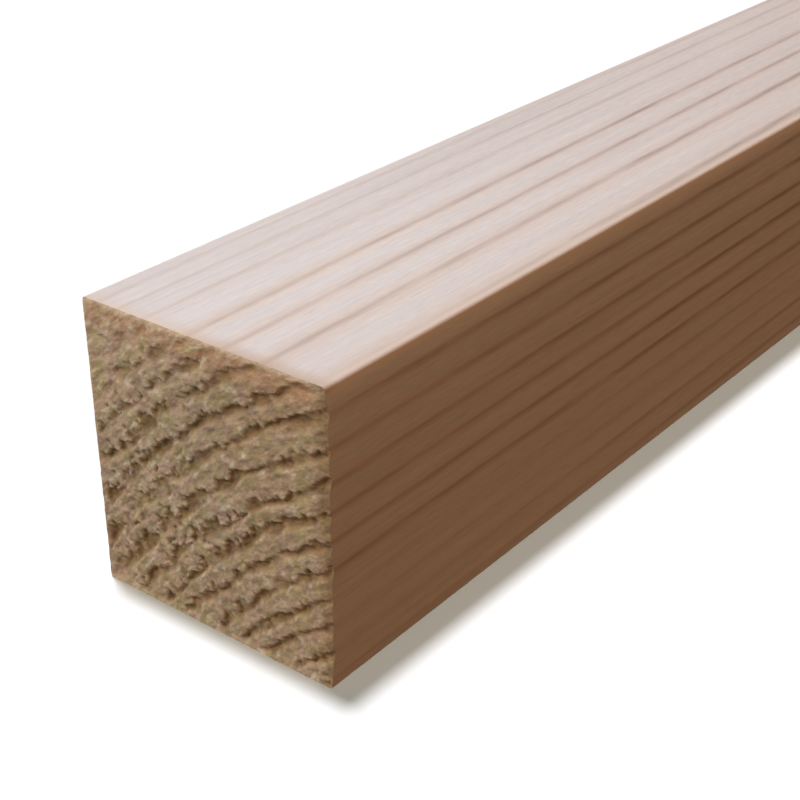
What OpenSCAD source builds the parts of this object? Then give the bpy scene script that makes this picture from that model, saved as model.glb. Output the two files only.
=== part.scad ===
// A length of planed softwood: one sawn and planed piece of near-square section.
// The frame has its origin under the middle of the bed face, X along the grain and Z up.

/* [Section] */
// Width of the section, from side face to side face
section_width = 47; // [19:1:150]
// Height of the section, from the bed face to the top face
section_height = 50; // [19:1:300]

/* [Stock] */
// Length that the timber is crosscut to
stock_length = 1800; // [300:100:6000]

/* [Planing] */
// Radius that eases the four long arrises
arris_radius = 0.5; // [0.25:0.25:6]

/* [Hidden] */
// Segments of a full circle where an arris is rounded
arc_segments = 64;
// Distances between the centres of the arris rounds
round_span_y = section_width - 2 * arris_radius;
round_span_z = section_height - 2 * arris_radius;
wood_colour = [0.80, 0.66, 0.50];

// The planed outline: two crossing slabs, with a round in each of the four corners
module planed_section() {
    translate([-round_span_y / 2, 0]) square([round_span_y, section_height]);
    translate([-section_width / 2, arris_radius]) square([section_width, round_span_z]);
    for (side = [-1, 1], level = [0, 1])
        translate([side * round_span_y / 2, arris_radius + level * round_span_z])
            circle(r = arris_radius, $fn = arc_segments);
}

// The outline drawn along the grain and crosscut square at both ends
module batten() {
    color(wood_colour)
        rotate([90, 0, 90])
            linear_extrude(height = stock_length, center = true)
                planed_section();
}

batten();
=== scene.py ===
# A length of planed softwood with rough sawn ends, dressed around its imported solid
import bpy
import numpy as np
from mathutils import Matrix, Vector


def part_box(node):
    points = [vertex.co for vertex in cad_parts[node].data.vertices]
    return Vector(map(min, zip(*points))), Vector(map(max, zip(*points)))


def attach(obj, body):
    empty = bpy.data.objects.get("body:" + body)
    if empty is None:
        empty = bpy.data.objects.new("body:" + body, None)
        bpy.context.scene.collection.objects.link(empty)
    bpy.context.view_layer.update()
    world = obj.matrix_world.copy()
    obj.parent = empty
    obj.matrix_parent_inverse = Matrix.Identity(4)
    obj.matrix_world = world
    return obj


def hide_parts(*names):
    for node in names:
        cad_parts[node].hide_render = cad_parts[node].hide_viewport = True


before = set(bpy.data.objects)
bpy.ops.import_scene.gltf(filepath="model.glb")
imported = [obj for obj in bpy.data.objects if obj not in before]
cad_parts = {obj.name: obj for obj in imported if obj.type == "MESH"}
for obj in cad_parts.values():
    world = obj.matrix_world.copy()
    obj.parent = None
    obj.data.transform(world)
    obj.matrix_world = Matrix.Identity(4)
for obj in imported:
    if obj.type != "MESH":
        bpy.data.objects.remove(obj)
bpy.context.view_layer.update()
lowCorner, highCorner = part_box("batten")
mm = 0.001  # metres in a millimetre
stockLength, stockWidth, stockHeight = [side / mm for side in highCorner - lowCorner]
print("frame loaded:", round(stockLength), "x", round(stockWidth), "x", round(stockHeight), "mm")


class Signal:
    # one socket of a node tree; sums on signals add Math nodes
    def __init__(self, sheet, socket):
        self.sheet = sheet
        self.socket = socket

    def __add__(self, other):
        return self.sheet.maths("ADD", self, other)

    def __sub__(self, other):
        return self.sheet.maths("SUBTRACT", self, other)

    def __rsub__(self, other):
        return self.sheet.maths("SUBTRACT", other, self)

    def __mul__(self, other):
        return self.sheet.maths("MULTIPLY", self, other)

    def __truediv__(self, other):
        return self.sheet.maths("DIVIDE", self, other)

    def __pow__(self, other):
        return self.sheet.maths("POWER", self, other)

    __radd__ = __add__
    __rmul__ = __mul__


class NodeSheet:
    # a node tree, for shaders and for geometry alike
    def __init__(self, tree):
        self.tree = tree

    def find(self, sockets, key):
        if isinstance(key, int):
            return sockets[key]
        return next((s for s in sockets if s.identifier == key), None) or sockets[key]

    def node(self, kind, settings=None, values=None, out=0):
        made = self.tree.nodes.new(kind)
        for name, setting in (settings or {}).items():
            setattr(made, name, setting)
        for key, value in (values or {}).items():
            target = self.find(made.inputs, key)
            if isinstance(value, Signal):
                self.tree.links.new(value.socket, target)
            else:
                target.default_value = value
        return Signal(self, self.find(made.outputs, out)) if made.outputs else made

    def maths(self, operation, *numbers):
        return self.node("ShaderNodeMath", {"operation": operation}, dict(enumerate(numbers)))

    def split(self, vector):
        first = self.node("ShaderNodeSeparateXYZ", None, {0: vector})
        return [Signal(self, s) for s in first.socket.node.outputs]

    def vector(self, x, y, z):
        return self.node("ShaderNodeCombineXYZ", None, {0: x, 1: y, 2: z})

    def smooth(self, value, low, high):  # 0 at low, 1 at high, eased between; high may be the lesser
        limits = {"From Min": low, "From Max": high}
        return self.node("ShaderNodeMapRange", {"interpolation_type": "SMOOTHSTEP"}, {0: value, **limits})

    def noise(self, vector, scale, detail=2.0, roughness=0.5):
        sockets = {"Vector": vector, "Scale": scale, "Detail": detail, "Roughness": roughness}
        return self.node("ShaderNodeTexNoise", {"noise_dimensions": "3D"}, sockets)

    def mix(self, share, first, second):  # from the first colour to the second
        sockets = {"Factor_Float": share, "A_Color": first, "B_Color": second}
        return self.node("ShaderNodeMix", {"data_type": "RGBA"}, sockets, "Result_Color")

    def shade(self, colour, amount):  # a colour made darker or lighter
        return self.node("ShaderNodeVectorMath", {"operation": "SCALE"}, {0: colour, "Scale": amount})


def grainNoise(sheet, x, y, z, recipe):
    # noise drawn out along the length, from stretch along, stretch across, scale, detail and roughness
    lengthways, across, scale, detail, roughness = recipe
    place = sheet.vector(x * lengthways, y * across, z * across)
    return sheet.noise(place, scale, detail, roughness)


def ringNoise(sheet, place, recipe):
    # noise that follows the rings, from stretch along them, stretch outwards, shift, detail and roughness
    along, out, deep = place
    alongRing, outwards, shift, detail, roughness = recipe
    place = sheet.vector(along * alongRing, out * outwards, deep + shift)
    return sheet.noise(place, 1.0, detail, roughness)


# The tree that the timber was sawn from. Its middle lies outside the section, below and to the right.
growth = {
    "pithAcross": -76.5,  # mm, along Y
    "pithUp": -67.5,  # mm, above the bed
    "taper": 0.006,  # rings grow wider towards the far end, mm in each mm
    "wander": 0.5,  # mm that the rings stray
    "stray": (0.004, 0.03, 1.0, 2.0, 0.5),
    "firstRing": 60.0,  # mm, radius where the first run of years starts
    "change": (0.1, 0.4),  # share of a ring over which one run's looks give way to the next's
    "years": [  # runs of like years: count, ring width, darkness and share of the latewood
        (8, 3.9, 0.55, 0.36),
        (2, 3.85, 0.3, 0.36),
        (4, 4.13, 0.95, 0.33),
        (2, 4.85, 0.9, 0.28),
        (1, 4.23, 0.85, 0.25),
        (1, 4.67, 0.86, 0.2),
        (1, 3.7, 0.76, 0.2),
        (1, 3.7, 0.86, 0.2),
        (1, 5.15, 0.34, 0.17),
        (1, 3.15, 0.34, 0.25),
        (5, 2.6, 0.3, 0.3),
    ],
}


def growthRings(sheet, x, y, z):
    # count of rings from the first, how dark and how wide the latewood is there, and the radius
    across = y - growth["pithAcross"]
    up = z - growth["pithUp"]
    stray = grainNoise(sheet, x, y, z, growth["stray"])
    radius = (across * across + up * up) ** 0.5
    radius = radius - (x + stockLength / 2) * growth["taper"] + (stray - 0.5) * growth["wander"]
    rings, darkness, latewood = 0.0, 0.0, 0.0
    start, darkBefore, lateBefore = growth["firstRing"], 0.0, 0.0
    for count, width, dark, late in growth["years"]:
        end = start + count * width
        grown = sheet.node("ShaderNodeClamp", None, {0: radius, "Min": start, "Max": end})
        rings = (grown - start) / width + rings
        begun = sheet.smooth(radius, *[start + width * share for share in growth["change"]])
        darkness = begun * (dark - darkBefore) + darkness
        latewood = begun * (late - lateBefore) + latewood
        start, darkBefore, lateBefore = end, dark, late
    return rings, darkness, latewood, radius


def pastRing(sheet, rings):  # rings past the nearest ring's end, from -0.5 to 0.5
    return sheet.maths("FRACT", rings + 0.5) - 0.5


# Rough sawn end: soft springwood torn into teeth that hang over a groove at each ring
endCut = {
    "cell": 0.25,  # mm, size of a face on the end
    "meanRadius": 120.0,  # mm from the pith
    "sway": 0.9,  # rings that a groove strays
    "teeth": 1.5,  # rings that the torn edge strays
    "leastTeeth": 0.6,  # share of that where nothing is torn
    "groove": 0.8,  # mm deep
    "grooveStart": (-0.42, -0.1),  # rings, where a groove falls away
    "grooveEnd": (-0.04, 0.13),  # rings, where the torn edge stands up
    "chain": (0.34, 0.62),  # noise levels between which grooves gain their full depth
    "leastGroove": 0.4,  # share of the depth elsewhere
    "plateau": 0.7,  # mm, slow rise and fall between grooves
    "fuzz": 0.32,  # mm
    "tear": 0.6,  # mm deep, where the saw came out
    "tearLevels": (0.56, 0.72),  # noise levels
    "torn": (-14.0, 24.0),  # mm along Y between which tears set in
    "tornSpread": 60.0,  # mm that this place strays
    "tornScale": 0.09,
    "crestOff": 0.3,  # mm, taken off the depth so that the highest lumps reach the saw cut
    "crestRise": (0.02, 0.12),  # rings, along the torn edge, where the crests get a painted highlight
    "crestFall": (0.1, 0.34),
    "rim": 1.3,  # mm, strip along the edges that is worn level
    "upperRim": 2.4,  # mm, the same along the top
    "rimShare": 0.95,  # how level it is
    "rimDepth": 0.34,  # mm, before the crest comes off
    "rimRag": 0.3,  # mm
    "chipped": 2.6,  # mm, strip along the right edge that fell away with the teeth
    "chipDepth": 0.4,  # mm
    "chipRough": 0.55,  # how much less level the rim is there
    "chipFromBed": (0.5, 6.0),  # mm, both corners held
    "chipFromTop": (0.3, 4.0),
    "narrow": (131.0, 148.0),  # mm from the pith, where rings grow narrow and tear less
    "narrowCalm": 0.7,
    "noises": {
        "sway": (0.11, 0.3, 0.0, 2.0, 0.5),
        "teeth": (0.5, 0.18, 5.0, 3.0, 0.65),
        "chain": (0.28, 0.13, 9.0, 1.0, 0.5),
        "plateau": (0.3, 0.75, 3.0, 3.0, 0.5),
        "tears": (0.55, 0.9, 1.0, 1.0, 0.5),
        "fuzz": (1.6, 1.9, 0.0, 3.0, 0.65),
        "ragged": (0.8, 0.8, 7.0, 2.0, 0.5),
    },
}


def ringPlace(sheet, x, y, z, radius):
    # mm along the ring, out from the pith and along the grain
    turn = sheet.maths("ARCTAN2", z - growth["pithUp"], y - growth["pithAcross"])
    return turn * endCut["meanRadius"], radius, x


def endRelief(sheet, x, y, z, toEdge):
    # depth below the saw cut, in mm, and where the crests of the teeth are, for a painted highlight on
    # them
    rings, _, _, radius = growthRings(sheet, x, y, z)
    place = ringPlace(sheet, x, y, z, radius)
    noises = {name: ringNoise(sheet, place, recipe) for name, recipe in endCut["noises"].items()}
    torn = sheet.noise(sheet.vector(x, y, z), endCut["tornScale"], 1.0) - 0.5
    torn = sheet.smooth(y + torn * endCut["tornSpread"], *endCut["torn"])

    # a groove before each ring's end, with torn teeth past it
    past = pastRing(sheet, rings + (noises["sway"] - 0.5) * endCut["sway"])
    edge = past - (noises["teeth"] - 0.5) * endCut["teeth"] * (endCut["leastTeeth"] + torn)
    groove = sheet.smooth(past, *endCut["grooveStart"]) * (1.0 - sheet.smooth(edge, *endCut["grooveEnd"]))
    chain = sheet.smooth(noises["chain"], *endCut["chain"])
    tears = sheet.smooth(noises["tears"], *endCut["tearLevels"]) * torn
    calm = 1.0 - sheet.smooth(radius, *endCut["narrow"]) * endCut["narrowCalm"]
    chained = endCut["leastGroove"] + chain * (1.0 - endCut["leastGroove"])
    depth = groove * chained * endCut["groove"] * calm
    depth = sheet.maths("MAXIMUM", depth, tears * endCut["tear"] * calm)
    depth = depth + noises["plateau"] * endCut["plateau"] + noises["fuzz"] * endCut["fuzz"]

    # edges worn level, and the right one chipped
    level = endCut["rimDepth"] + (noises["ragged"] - 0.5) * endCut["rimRag"]
    chipped = sheet.smooth(0.0 - y, stockWidth / 2 - endCut["chipped"], stockWidth / 2)
    chipped = chipped * sheet.smooth(z, *endCut["chipFromBed"])
    chipped = chipped * sheet.smooth(stockHeight - z, *endCut["chipFromTop"])
    upper = sheet.smooth(stockHeight - z, endCut["upperRim"], 0.0)
    worn = sheet.maths("MAXIMUM", upper, sheet.smooth(toEdge, endCut["rim"], 0.0))
    worn = worn * (endCut["rimShare"] - chipped * endCut["chipRough"])
    depth = depth + (level - depth) * worn + chipped * endCut["chipDepth"]
    # where the crests lie; the material only uses this for a painted highlight
    crestHighlight = sheet.smooth(edge, *endCut["crestRise"]) * (1.0 - sheet.smooth(edge, *endCut["crestFall"]))
    return sheet.maths("MAXIMUM", depth - endCut["crestOff"], 0.0), crestHighlight * chain


batten = {
    "arris": 0.5,  # mm, radius of the four long edges
    "loops": 24,  # cuts along the length
    "crowding": 2.2,  # how much the cuts crowd towards the ends
    "slack": 0.01,  # mm, within which a face counts as lying on an end
}


def geometrySheet(name, inputs):
    # an empty geometry tree with named number inputs
    tree = bpy.data.node_groups.new(name, "GeometryNodeTree")
    for title in inputs:
        tree.interface.new_socket(name=title, in_out="INPUT", socket_type="NodeSocketFloat")
    tree.interface.new_socket(name="Geometry", in_out="OUTPUT", socket_type="NodeSocketGeometry")
    sheet = NodeSheet(tree)
    given = tree.nodes.new("NodeGroupInput")
    return sheet, {title: Signal(sheet, given.outputs[title]) for title in inputs}


def storeField(sheet, shape, name, domain, value):
    sockets = {"Geometry": shape, "Name": name, "Value": value}
    return sheet.node("GeometryNodeStoreNamedAttribute", {"data_type": "FLOAT", "domain": domain}, sockets)


def readField(sheet, name):
    return sheet.node("GeometryNodeInputNamedAttribute", {"data_type": "FLOAT"}, {"Name": name})


def battenTree(inputs, material):
    sheet, size = geometrySheet("battenShape", inputs)
    halfLength, halfWidth, halfHeight = [size[s] * 0.5 for s in ("Length", "Width", "Height")]
    counts = {
        "Size": sheet.vector(size["Length"] * mm, size["Width"] * mm, size["Height"] * mm),
        "Vertices X": size["Loops"],
        "Vertices Y": size["Width"] / size["Cell"] + 1.0,
        "Vertices Z": size["Height"] / size["Cell"] + 1.0,
    }
    shape = sheet.node("GeometryNodeMeshCube", None, counts)
    place = sheet.node("GeometryNodeInputPosition")
    x, y, z = [axis / mm for axis in sheet.split(place)]
    alongX, alongY, alongZ = [sheet.maths("SIGN", axis) for axis in (x, y, z)]
    farX, farY, farZ = [sheet.maths("ABSOLUTE", axis) for axis in (x, y, z)]
    atEnd = sheet.maths("GREATER_THAN", farX, halfLength - batten["slack"])
    shape = storeField(sheet, shape, "endGrain", "FACE", atEnd)

    # cuts crowd towards the ends
    left = sheet.maths("MAXIMUM", 1.0 - farX / halfLength, 0.0)
    newX = alongX * halfLength * (1.0 - left ** size["Crowding"])
    # squares at the corners of the section become quarter rounds
    pastY = sheet.maths("MAXIMUM", farY - halfWidth + size["Arris"], 0.0)
    pastZ = sheet.maths("MAXIMUM", farZ - halfHeight + size["Arris"], 0.0)
    reach = (pastY * pastY + pastZ * pastZ) ** 0.5 + 0.000001  # never zero
    pull = sheet.maths("MAXIMUM", pastY, pastZ) / reach - 1.0
    newY = y + alongY * pastY * pull
    newZ = z + alongZ * pastZ * pull + halfHeight
    # the saw's tear on both ends
    toEdge = sheet.maths("MINIMUM", halfWidth - farY, halfHeight - farZ)
    relief, crestHighlight = endRelief(sheet, newX, newY, newZ, toEdge)
    # the depth moves the end back, and the material also darkens the end by it as painted shade
    shape = storeField(sheet, shape, "tearDepth", "POINT", relief * atEnd)
    # where the crests are, for a painted highlight on them
    shape = storeField(sheet, shape, "crestHighlight", "POINT", crestHighlight * atEnd)
    newX = newX - alongX * readField(sheet, "tearDepth")
    moved = sheet.vector(newX * mm, newY * mm, newZ * mm)
    shape = sheet.node("GeometryNodeSetPosition", None, {"Geometry": shape, "Position": moved})

    # smooth all over, with a crisp edge between the ends and the planed faces
    shape = sheet.node("GeometryNodeSetShadeSmooth", None, {"Geometry": shape, "Shade Smooth": True})
    fromBoth = sheet.maths("ABSOLUTE", readField(sheet, "endGrain") - 0.5)  # 0 where the two meet
    rim = sheet.maths("LESS_THAN", fromBoth, 0.25)
    crisp = {"Geometry": shape, "Selection": rim, "Shade Smooth": False}
    shape = sheet.node("GeometryNodeSetShadeSmooth", {"domain": "EDGE"}, crisp)
    shape = sheet.node("GeometryNodeRealizeInstances", None, {"Geometry": shape})
    shape = sheet.node("GeometryNodeSetMaterial", None, {"Geometry": shape, "Material": material})
    sheet.node("NodeGroupOutput", None, {"Geometry": shape})
    return sheet.tree


def growPiece(name, tree, inputs):
    # runs a tree on an empty holder and keeps the result as a plain mesh
    holder = bpy.data.objects.new(name + "_holder", bpy.data.meshes.new(name + "_holder"))
    bpy.context.scene.collection.objects.link(holder)
    modifier = holder.modifiers.new("shape", "NODES")
    modifier.node_group = tree
    for item in tree.interface.items_tree:
        if item.in_out == "INPUT":
            modifier[item.identifier] = float(inputs[item.name])
    depsgraph = bpy.context.evaluated_depsgraph_get()
    mesh = bpy.data.meshes.new_from_object(
        holder.evaluated_get(depsgraph), preserve_all_data_layers=True, depsgraph=depsgraph
    )
    holder.modifiers.remove(modifier)
    bpy.data.objects.remove(holder)
    mesh.name = name
    piece = bpy.data.objects.new(name, mesh)
    bpy.context.scene.collection.objects.link(piece)
    return piece


# Softwood, planed and bare. Colours are linear, shares run from 0 to 1.
softwood = {
    "sapwood": (0.662, 0.56, 0.441, 1.0),
    "heartwood": (0.62, 0.485, 0.35, 1.0),
    "sap": (92.0, 148.0),  # mm from the pith, from all heartwood to all sapwood
    "tone": {"base": 0.57, "fibres": 0.24, "hairs": 0.34, "patches": 0.1, "streaks": 0.18},
    "inner": (20.0, 140.0),  # mm from an end; ring lines are warmer and softer outside it
    # the dark line at a ring's end
    "latewood": (0.33, 0.215, 0.15, 1.0),
    "lineFull": -0.04,  # rings
    "lineStop": (-0.05, 0.09),  # rings
    "lineShare": (0.425, 0.25),  # at an end, and added away from it
    "fadeLevels": (0.3, 0.7),  # noise levels
    "fade": (0.6, 0.8),  # least strength of a line, and added by the noise
    # the warm wood around that line
    "summerwood": (0.67, 0.448, 0.262, 1.0),
    "skirtStart": (-0.5, -0.1),  # rings
    "skirtStop": (0.0, 0.38),
    "skirtShare": (0.44, 0.18),  # at an end, and taken off away from it
    # worn upper edges, mostly on the near side, with a painted highlight on the side faces under them
    "nearSide": (10.0, -10.0),  # mm along Y, between which the near side's wear sets in
    "arris": (0.7, 0.52, 0.34, 1.0),
    "arrisWidth": 2.6,  # mm on both sides of an upper long edge
    "arrisShare": (0.55, 0.5),  # least, and added by the streaks
    "farArris": 0.15,  # how worn the far edge is
    "sideHighlight": 0.27,  # painted highlight, where the eased edge catches light from above: how much the side faces pale under that edge
    "sideHighlightRise": 0.4,  # mm
    "sideHighlightDepth": 4.5,  # mm
    # the top next to the saw cut, which browned it
    "singed": 3.4,  # mm along
    "singedDepth": 2.0,  # mm down
    "singedShare": (0.42, 0.2),  # all over, and added on the near side
    "singedDark": 0.16,
    # ends
    "endPale": (0.63, 0.455, 0.298, 1.0),
    "driftScale": 0.3,
    "endOlive": (0.52, 0.42, 0.21, 1.0),
    "oliveLevels": (0.5, 0.62),
    "oliveShare": 0.6,
    "endMauve": (0.64, 0.42, 0.32, 1.0),
    "mauveLevels": (0.5, 0.38),
    "mauveShare": 0.65,
    # painted shade in the tears, darker the deeper they go
    "endTearShade": (0.23, 0.115, 0.026, 1.0),
    "darkDepth": (0.15, 0.85),  # mm
    "darkGrain": 0.5,  # mm that the grain adds or takes off
    "darkShare": 0.74,
    # pale torn fibres on the lumps, and the painted highlight on the crests
    "endTuftAndHighlight": (0.87, 0.73, 0.58, 1.0),
    "tuftLevels": (0.55, 0.7),
    "tuftShare": 0.6,
    # painted highlight on the crests of the teeth
    "crestHighlightLevels": (0.38, 0.62),
    "crestHighlightShare": 0.45,
    "endRim": (0.85, 0.45, 0.26, 1.0),  # bruised wood under the upper edge
    "rimDepth": (6.5, 1.0),  # mm down
    "rimLevels": (0.58, 0.42),
    "rimMottle": (0.2, 0.75),  # least, and added in the dark spots
    "rimShare": (0.62, 0.28),  # all over, and added on the near side
    "endBlush": (0.52, 0.27, 0.1, 1.0),  # warmer wood to the right and below
    "blushAcross": (2.0, -14.0),  # mm along Y
    "blushUp": (26.0, 6.0),  # mm above the bed
    "blushLow": 0.7,  # how strong it is below
    "blushShare": 0.2,
    "endEdgeHighlight": (1.0, 0.73, 0.5, 1.0),  # painted highlight, a pale line along the upper edge
    "edgeHighlightDepth": (1.5, 0.1),  # mm down
    "edgeHighlightShare": 0.85,
    "edgeHighlightNear": 0.15,  # painted highlight paler still on the near side
    # painted shade along the chipped right edge, which turns towards the shaded side
    "endChipShade": (0.4, 0.245, 0.125, 1.0),
    "chipShadeStart": 3.0,  # mm inside the right edge
    "chipShadeStop": 0.5,  # mm outside it
    "endTone": {"base": -0.15, "grain": 0.6, "mottle": 1.5, "narrow": 0.15},
    # surface
    "planedRough": 0.56,
    "roughSpread": 0.12,
    "endRough": 0.9,
    "fibreRidge": 0.03,  # mm
    "grainRidge": 0.2,  # mm
    "ior": 1.45,
    "faceNoises": {
        "fibres": (0.02, 1.0, 1.6, 3.0, 0.6),
        "patches": (0.006, 0.05, 1.0, 2.0, 0.5),
        "fade": (0.06, 0.6, 1.0, 2.0, 0.5),
        "streaks": (0.008, 0.5, 1.0, 3.0, 0.6),
        "hairs": (0.06, 1.0, 4.5, 2.0, 0.6),
    },
    "endNoises": {
        "grain": (1.1, 1.8, 0.0, 4.0, 0.65),
        "tufts": (0.5, 0.8, 7.0, 1.0, 0.5),
        "mottle": (0.5, 0.9, 2.0, 3.0, 0.6),
    },
}


def planedColour(sheet, x, wood, noises):
    # pale wood, a thin dark line where each ring ends, fibres along the length
    rings, darkness, latewood, radius = wood
    look = softwood
    past = pastRing(sheet, rings)
    inner = sheet.smooth(stockLength / 2 - sheet.maths("ABSOLUTE", x), *look["inner"])
    colour = sheet.mix(sheet.smooth(radius, *look["sap"]), look["heartwood"], look["sapwood"])
    skirt = sheet.smooth(past, *look["skirtStart"]) * (1.0 - sheet.smooth(past, *look["skirtStop"]))
    share = look["skirtShare"][0] - inner * look["skirtShare"][1]
    colour = sheet.mix(skirt * darkness * share, colour, look["summerwood"])
    line = sheet.smooth(past, 0.0 - latewood, look["lineFull"])
    line = line * (1.0 - sheet.smooth(past, *look["lineStop"]))
    fade = look["fade"][0] + sheet.smooth(noises["fade"], *look["fadeLevels"]) * look["fade"][1]
    share = look["lineShare"][0] + inner * look["lineShare"][1]
    colour = sheet.mix(line * darkness * fade * share, colour, look["latewood"])
    tone = look["tone"]["base"]
    for name in ("fibres", "hairs", "patches", "streaks"):
        tone = tone + noises[name] * look["tone"][name]
    return sheet.shade(colour, tone)


def wearAndHighlightColour(sheet, x, y, z, nearSide, colour, streaks):
    # what use and the saw did to the upper edges of the planed faces, and a painted highlight on the side
    # faces under them
    look = softwood
    toSide = stockWidth / 2 - sheet.maths("ABSOLUTE", y)
    toTop = stockHeight - z
    toEnd = stockLength / 2 - sheet.maths("ABSOLUTE", x)
    worn = 1.0 - sheet.smooth(toSide + toTop, 0.0, look["arrisWidth"])
    worn = worn * (look["farArris"] + nearSide * (1.0 - look["farArris"]))
    share = look["arrisShare"][0] + streaks * look["arrisShare"][1]
    colour = sheet.mix(worn * share, colour, look["arris"])
    # painted highlight: the side faces paler just under the upper edge
    sideHighlight = sheet.smooth(toTop, 0.0, look["sideHighlightRise"]) * (1.0 - sheet.smooth(toTop, 0.0, look["sideHighlightDepth"]))
    colour = sheet.shade(colour, 1.0 + sideHighlight * look["sideHighlight"])
    singed = sheet.smooth(toEnd, look["singed"], 0.0) * sheet.smooth(toTop, look["singedDepth"], 0.0)
    share = look["singedShare"][0] + nearSide * look["singedShare"][1]
    colour = sheet.mix(singed * share, colour, look["summerwood"])
    return sheet.shade(colour, 1.0 - singed * nearSide * look["singedDark"])


def endColour(sheet, x, y, z, radius, nearSide, noises):
    # painted shade in the tears, pale on the lumps with a painted highlight on the crests, a little olive
    # and mauve between
    look = softwood
    tearDepth = sheet.node("ShaderNodeAttribute", {"attribute_name": "tearDepth"}, None, "Fac")
    crestHighlight = sheet.node("ShaderNodeAttribute", {"attribute_name": "crestHighlight"}, None, "Fac")
    grain, mottle = noises["grain"], noises["mottle"]
    toTop = stockHeight - z
    drift = sheet.noise(sheet.vector(x, y, z), look["driftScale"], 2.0)
    olive = sheet.smooth(drift, *look["oliveLevels"]) * look["oliveShare"]
    colour = sheet.mix(olive, look["endPale"], look["endOlive"])
    mauve = sheet.smooth(drift, *look["mauveLevels"]) * look["mauveShare"]
    colour = sheet.mix(mauve, colour, look["endMauve"])
    # painted shade, darker the deeper the tear
    shaded = sheet.smooth(tearDepth + (grain - 0.5) * look["darkGrain"], *look["darkDepth"])
    colour = sheet.mix(shaded * look["darkShare"], colour, look["endTearShade"])
    tufts = sheet.smooth(noises["tufts"], *look["tuftLevels"]) * (1.0 - shaded)
    colour = sheet.mix(tufts * look["tuftShare"], colour, look["endTuftAndHighlight"])
    # painted highlight on the crests of the teeth
    crestHighlight = crestHighlight * look["crestHighlightShare"] * sheet.smooth(grain, *look["crestHighlightLevels"])
    colour = sheet.mix(crestHighlight, colour, look["endTuftAndHighlight"])

    # bruised under the top with a painted highlight along the upper edge, warmer to the right and below,
    # painted shade along the chipped right edge
    spots = look["rimMottle"][0] + sheet.smooth(mottle, *look["rimLevels"]) * look["rimMottle"][1]
    share = look["rimShare"][0] + nearSide * look["rimShare"][1]
    colour = sheet.mix(sheet.smooth(toTop, *look["rimDepth"]) * spots * share, colour, look["endRim"])
    below = sheet.smooth(z, *look["blushUp"]) * look["blushLow"]
    blush = sheet.maths("MAXIMUM", sheet.smooth(y, *look["blushAcross"]), below)
    colour = sheet.mix(blush * look["blushShare"], colour, look["endBlush"])
    # painted highlight along the upper edge
    edgeHighlight = sheet.smooth(toTop, *look["edgeHighlightDepth"])
    colour = sheet.mix(edgeHighlight * look["edgeHighlightShare"], colour, look["endEdgeHighlight"])
    # painted shade along the chipped right edge
    chipShade = sheet.smooth(0.0 - y, stockWidth / 2 - look["chipShadeStart"], stockWidth / 2 + look["chipShadeStop"])
    colour = sheet.mix(chipShade, colour, look["endChipShade"])
    tone = grain * look["endTone"]["grain"] + mottle * look["endTone"]["mottle"]
    tone = tone + sheet.smooth(radius, *endCut["narrow"]) * look["endTone"]["narrow"]
    # the painted highlight along the upper edge is paler still on the near side
    tone = tone + edgeHighlight * nearSide * look["edgeHighlightNear"] + look["endTone"]["base"]
    return sheet.shade(colour, tone)


def softwoodMaterial():
    material = bpy.data.materials.new("planed_softwood")
    material.use_nodes = True
    material.node_tree.nodes.clear()
    sheet = NodeSheet(material.node_tree)
    place = sheet.node("ShaderNodeTexCoord", None, None, "Object")
    x, y, z = [axis / mm for axis in sheet.split(place)]
    wood = growthRings(sheet, x, y, z)
    radius = wood[-1]
    onRing = ringPlace(sheet, x, y, z, radius)
    faceNoises = {n: grainNoise(sheet, x, y, z, recipe) for n, recipe in softwood["faceNoises"].items()}
    endNoises = {n: ringNoise(sheet, onRing, recipe) for n, recipe in softwood["endNoises"].items()}
    fibres, grain = faceNoises["fibres"], endNoises["grain"]
    onEnd = sheet.node("ShaderNodeAttribute", {"attribute_name": "endGrain"}, None, "Fac")
    nearSide = sheet.smooth(y, *softwood["nearSide"])

    planed = planedColour(sheet, x, wood, faceNoises)
    planed = wearAndHighlightColour(sheet, x, y, z, nearSide, planed, faceNoises["streaks"])
    cut = endColour(sheet, x, y, z, radius, nearSide, endNoises)
    colour = sheet.mix(onEnd, planed, cut)
    rough = softwood["planedRough"] + (fibres - 0.5) * softwood["roughSpread"]
    rough = rough + (softwood["endRough"] - rough) * onEnd
    ridge = fibres * softwood["fibreRidge"]
    height = ridge + (grain * softwood["grainRidge"] - ridge) * onEnd
    bump = sheet.node("ShaderNodeBump", None, {"Strength": 1.0, "Distance": mm, "Height": height})
    looks = {"Base Color": colour, "Roughness": rough, "Normal": bump, "IOR": softwood["ior"]}
    shader = sheet.node("ShaderNodeBsdfPrincipled", None, looks)
    sheet.node("ShaderNodeOutputMaterial", None, {"Surface": shader})
    return material


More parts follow.
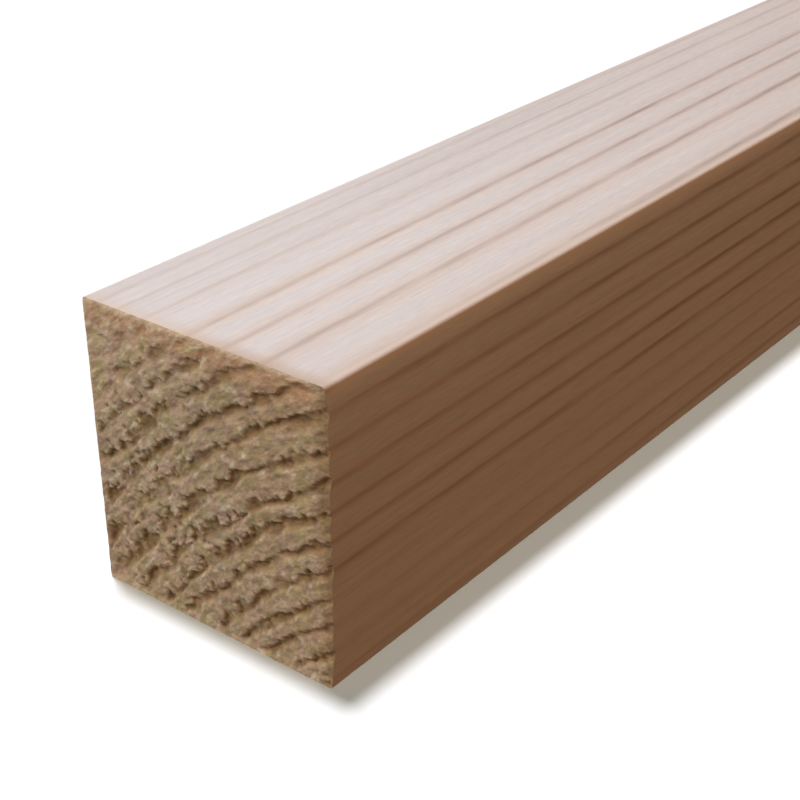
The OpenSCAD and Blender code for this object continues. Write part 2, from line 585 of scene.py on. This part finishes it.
def layBakeMap(mesh):
    # four long strips over two large end squares, so that the end grain keeps its detail
    corner = np.empty(len(mesh.loops), int)
    mesh.loops.foreach_get("vertex_index", corner)
    point = np.empty(len(mesh.vertices) * 3)
    mesh.vertices.foreach_get("co", point)
    point = point.reshape(-1, 3)[corner] / mm
    normal = np.empty(len(mesh.polygons) * 3)
    mesh.polygons.foreach_get("normal", normal)
    sides = np.empty(len(mesh.polygons), int)
    mesh.polygons.foreach_get("loop_total", sides)
    normal = np.repeat(normal.reshape(-1, 3), sides, axis=0)
    isEnd = np.empty(len(mesh.polygons), np.float32)
    mesh.attributes["endGrain"].data.foreach_get("value", isEnd)
    isEnd = np.repeat(isEnd, sides) > 0.5
    along = point[:, 0] / stockLength + 0.5
    across = point[:, 1] / stockWidth + 0.5
    up = point[:, 2] / stockHeight
    margin, stripTop, strip = 0.006, 0.515, 0.121
    flat = np.abs(normal[:, 2]) > np.abs(normal[:, 1])
    row = np.where(flat, np.where(normal[:, 2] > 0, 0, 1), np.where(normal[:, 1] > 0, 2, 3))
    uLong = margin + along * (1 - 2 * margin)
    vLong = stripTop + strip * row + margin + np.where(flat, across, up) * (strip - 2 * margin)
    uEnd = margin + across * (0.5 - 2 * margin) + np.where(point[:, 0] > 0, 0.5, 0.0)
    vEnd = margin + up * (stripTop - 2 * margin)
    places = np.stack([np.where(isEnd, uEnd, uLong), np.where(isEnd, vEnd, vLong)], axis=1)
    layer = mesh.uv_layers.new(name="OFBake")
    layer.data.foreach_set("uv", places.ravel())


material = softwoodMaterial()
battenInputs = {
    "Length": stockLength,
    "Width": stockWidth,
    "Height": stockHeight,
    "Arris": batten["arris"],
    "Cell": endCut["cell"],
    "Loops": batten["loops"],
    "Crowding": batten["crowding"],
}
piece = growPiece("planed_batten", battenTree(battenInputs, material), battenInputs)
layBakeMap(piece.data)
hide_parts("batten")
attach(piece, "root")
triangles = sum(len(p.vertices) - 2 for p in piece.data.polygons)
print("batten grown:", len(piece.data.vertices), "points,", triangles, "triangles")

# Each lamp lights either the timber or the floor, so that both keep their own balance
studio = {
    "floorSize": 60.0,  # metres
    "floorColour": (0.9, 0.9, 0.9, 1.0),
    "ambient": 0.03,
    "suns": [  # what it lights, name, direction to the lamp, colour, strength, angle across in degrees
        ("timber", "overhead", (0.06, 0.105, 1.0), (0.668, 0.68, 0.975), 2.06, 6.0),
        ("timber", "front", (-0.62, 0.42, 0.62), (1.0, 1.0, 0.97), 1.75, 40.0),
        ("timber", "endFill", (-1.0, 0.0, 0.12), (1.0, 0.95, 0.8), 0.5, 40.0),
        ("timber", "side", (-0.1, -0.9, 0.25), (1.0, 0.59, 0.355), 0.775, 30.0),
        ("timber", "back", (0.5, 0.85, 0.02), (1.0, 0.92, 0.8), 2.2, 20.0),
        ("timber", "farFill", (1.0, 0.3, 0.04), (1.0, 0.93, 0.82), 0.9, 30.0),
        ("floor", "floorOverhead", (0.043, 0.1065, 1.0), (0.93, 0.94, 1.0), 2.75, 4.7),
        ("floor", "floorFill", (-0.7, -0.54, 0.47), (1.0, 0.98, 0.83), 2.04, 30.0),
    ],
    "matt": ("back", "farFill"),  # lamps that leave no sheen on the top
    "nearLamp": {
        "place": (-885.0, 20.0, 200.0),  # mm
        "colour": (0.47, 0.69, 1.0),
        "watts": 0.36,
        "radius": 30.0,  # mm
    },
}


def layFloor():
    size = studio["floorSize"] / 2
    mesh = bpy.data.meshes.new("floor")
    corners = [(-size, -size, 0), (size, -size, 0), (size, size, 0), (-size, size, 0)]
    mesh.from_pydata(corners, [], [(0, 1, 2, 3)])
    floor = bpy.data.objects.new("floor", mesh)
    bpy.context.scene.collection.objects.link(floor)
    floor.visible_diffuse = False  # its bounce would light up the shaded side
    floor.visible_glossy = False
    paper = bpy.data.materials.new("floor_paper")
    paper.use_nodes = True
    shader = paper.node_tree.nodes["Principled BSDF"]
    shader.inputs["Base Color"].default_value = studio["floorColour"]
    shader.inputs["Roughness"].default_value = 1.0
    shader.inputs["Specular IOR Level"].default_value = 0.0
    mesh.materials.append(paper)
    return floor


def hangLamp(name, kind, colour, strength, receivers):
    lamp = bpy.data.lights.new(name, kind)
    lamp.color = colour
    lamp.energy = strength
    holder = bpy.data.objects.new(name, lamp)
    holder.light_linking.receiver_collection = receivers
    bpy.context.scene.collection.objects.link(holder)
    return holder


def setStudio(timber):
    scene = bpy.context.scene
    scene.view_settings.view_transform = "Standard"
    lit = {}
    for name, target in (("timber", timber), ("floor", layFloor())):
        lit[name] = bpy.data.collections.new("lit_" + name)
        lit[name].objects.link(target)
    for target, name, direction, colour, strength, angle in studio["suns"]:
        sun = hangLamp(name, "SUN", colour, strength, lit[target])
        sun.data.angle = np.radians(angle)
        sun.rotation_euler = Vector(direction).to_track_quat("Z", "Y").to_euler()
        sun.visible_glossy = name not in studio["matt"]
    near = studio["nearLamp"]
    lamp = hangLamp("near", "POINT", near["colour"], near["watts"], lit["timber"])
    lamp.data.shadow_soft_size = near["radius"] * mm
    lamp.location = Vector(near["place"]) * mm
    world = bpy.data.worlds.new("studio")
    world.use_nodes = True
    world.node_tree.nodes.clear()
    sheet = NodeSheet(world.node_tree)
    seen = sheet.node("ShaderNodeLightPath", None, None, "Is Camera Ray")
    strength = studio["ambient"] + seen * (1.0 - studio["ambient"])
    light = sheet.node("ShaderNodeBackground", None, {"Color": (1.0, 1.0, 1.0, 1.0), "Strength": strength})
    sheet.node("ShaderNodeOutputWorld", None, {"Surface": light})
    scene.world = world
    print("studio set:", len(studio["suns"]) + 1, "lamps")


view = {
    "eye": (-1036.2, -142.8, 146.0),  # mm
    "aim": (-863.1, -7.2, 27.1),
    "lens": 70.25,  # mm, on a 36 mm wide frame
    "nearest": 0.01,  # metres, where the picture starts
}


def setCamera():
    eye, aim = [Vector(view[end]) * mm for end in ("eye", "aim")]
    data = bpy.data.cameras.new("camera")
    data.lens = view["lens"]
    data.clip_start = view["nearest"]
    camera = bpy.data.objects.new("camera", data)
    camera.location = eye
    camera.rotation_euler = (aim - eye).to_track_quat("-Z", "Y").to_euler()
    bpy.context.scene.collection.objects.link(camera)
    bpy.context.scene.camera = camera
    print("camera set")


setStudio(piece)
setCamera()
